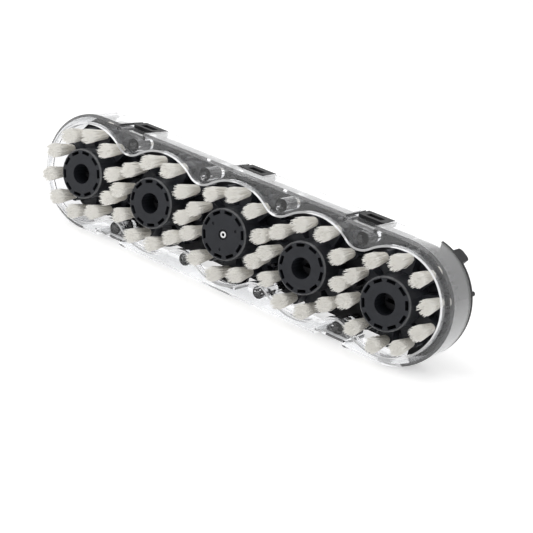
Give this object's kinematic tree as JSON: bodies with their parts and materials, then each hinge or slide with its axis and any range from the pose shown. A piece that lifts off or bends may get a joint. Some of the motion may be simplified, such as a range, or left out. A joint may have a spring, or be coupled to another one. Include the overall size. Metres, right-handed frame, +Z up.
{
  "type": "carpet cleaner spin brush",
  "caption": "Row of geared rotary tuft brushes on a black carrier plate under a clear clipped guard, turned by one drive shaft to scrub carpet pile.",
  "frame": {"origin": "on the drive axis, where the free stub of the drive shaft starts behind its clip", "axes": "+X along the row of brushes, +Y along the drive shaft towards its free end, +Z up; the brushes face -Y"},
  "size_m": [0.2724, 0.0601, 0.0684],
  "materials": {
    "black_plastic": "satin",
    "dark_plastic": "satin",
    "clear_plastic": "clear",
    "bristle": "matt",
    "steel": "ground",
    "bronze": "sintered"
  },
  "bodies": {
    "block": {"carrier": "black_plastic", "clear_guard": "clear_plastic", "drive_bush": "bronze"},
    "brush_1": {"brush_wheel_1": "dark_plastic", "tufts_1": "bristle", "tuft_anchors_1": "steel"},
    "brush_2": {"brush_wheel_2": "dark_plastic", "tufts_2": "bristle", "tuft_anchors_2": "steel"},
    "brush_3": {"brush_wheel_3": "dark_plastic", "tufts_3": "bristle", "tuft_anchors_3": "steel", "drive_shaft": "steel", "shaft_clip": "steel"},
    "brush_4": {"brush_wheel_4": "dark_plastic", "tufts_4": "bristle", "tuft_anchors_4": "steel"},
    "brush_5": {"brush_wheel_5": "dark_plastic", "tufts_5": "bristle", "tuft_anchors_5": "steel"}
  },
  "joints": [
    {"name": "brush_1_spin", "type": "hinge", "parent": "block", "child": "brush_1", "pos_m": [-0.102, 0, 0], "axis": [0, -1, 0], "continuous": true},
    {"name": "brush_2_spin", "type": "hinge", "parent": "block", "child": "brush_2", "pos_m": [-0.051, 0, 0], "axis": [0, -1, 0], "continuous": true},
    {"name": "brush_3_spin", "type": "hinge", "parent": "block", "child": "brush_3", "pos_m": [0, 0, 0], "axis": [0, -1, 0], "continuous": true},
    {"name": "brush_4_spin", "type": "hinge", "parent": "block", "child": "brush_4", "pos_m": [0.051, 0, 0], "axis": [0, -1, 0], "continuous": true},
    {"name": "brush_5_spin", "type": "hinge", "parent": "block", "child": "brush_5", "pos_m": [0.102, 0, 0], "axis": [0, -1, 0], "continuous": true}
  ],
  "couplings": [
    {"joint": "brush_1_spin", "follows": "brush_3_spin", "ratio": 1},
    {"joint": "brush_2_spin", "follows": "brush_3_spin", "ratio": -1},
    {"joint": "brush_4_spin", "follows": "brush_3_spin", "ratio": -1},
    {"joint": "brush_5_spin", "follows": "brush_3_spin", "ratio": 1}
  ]
}
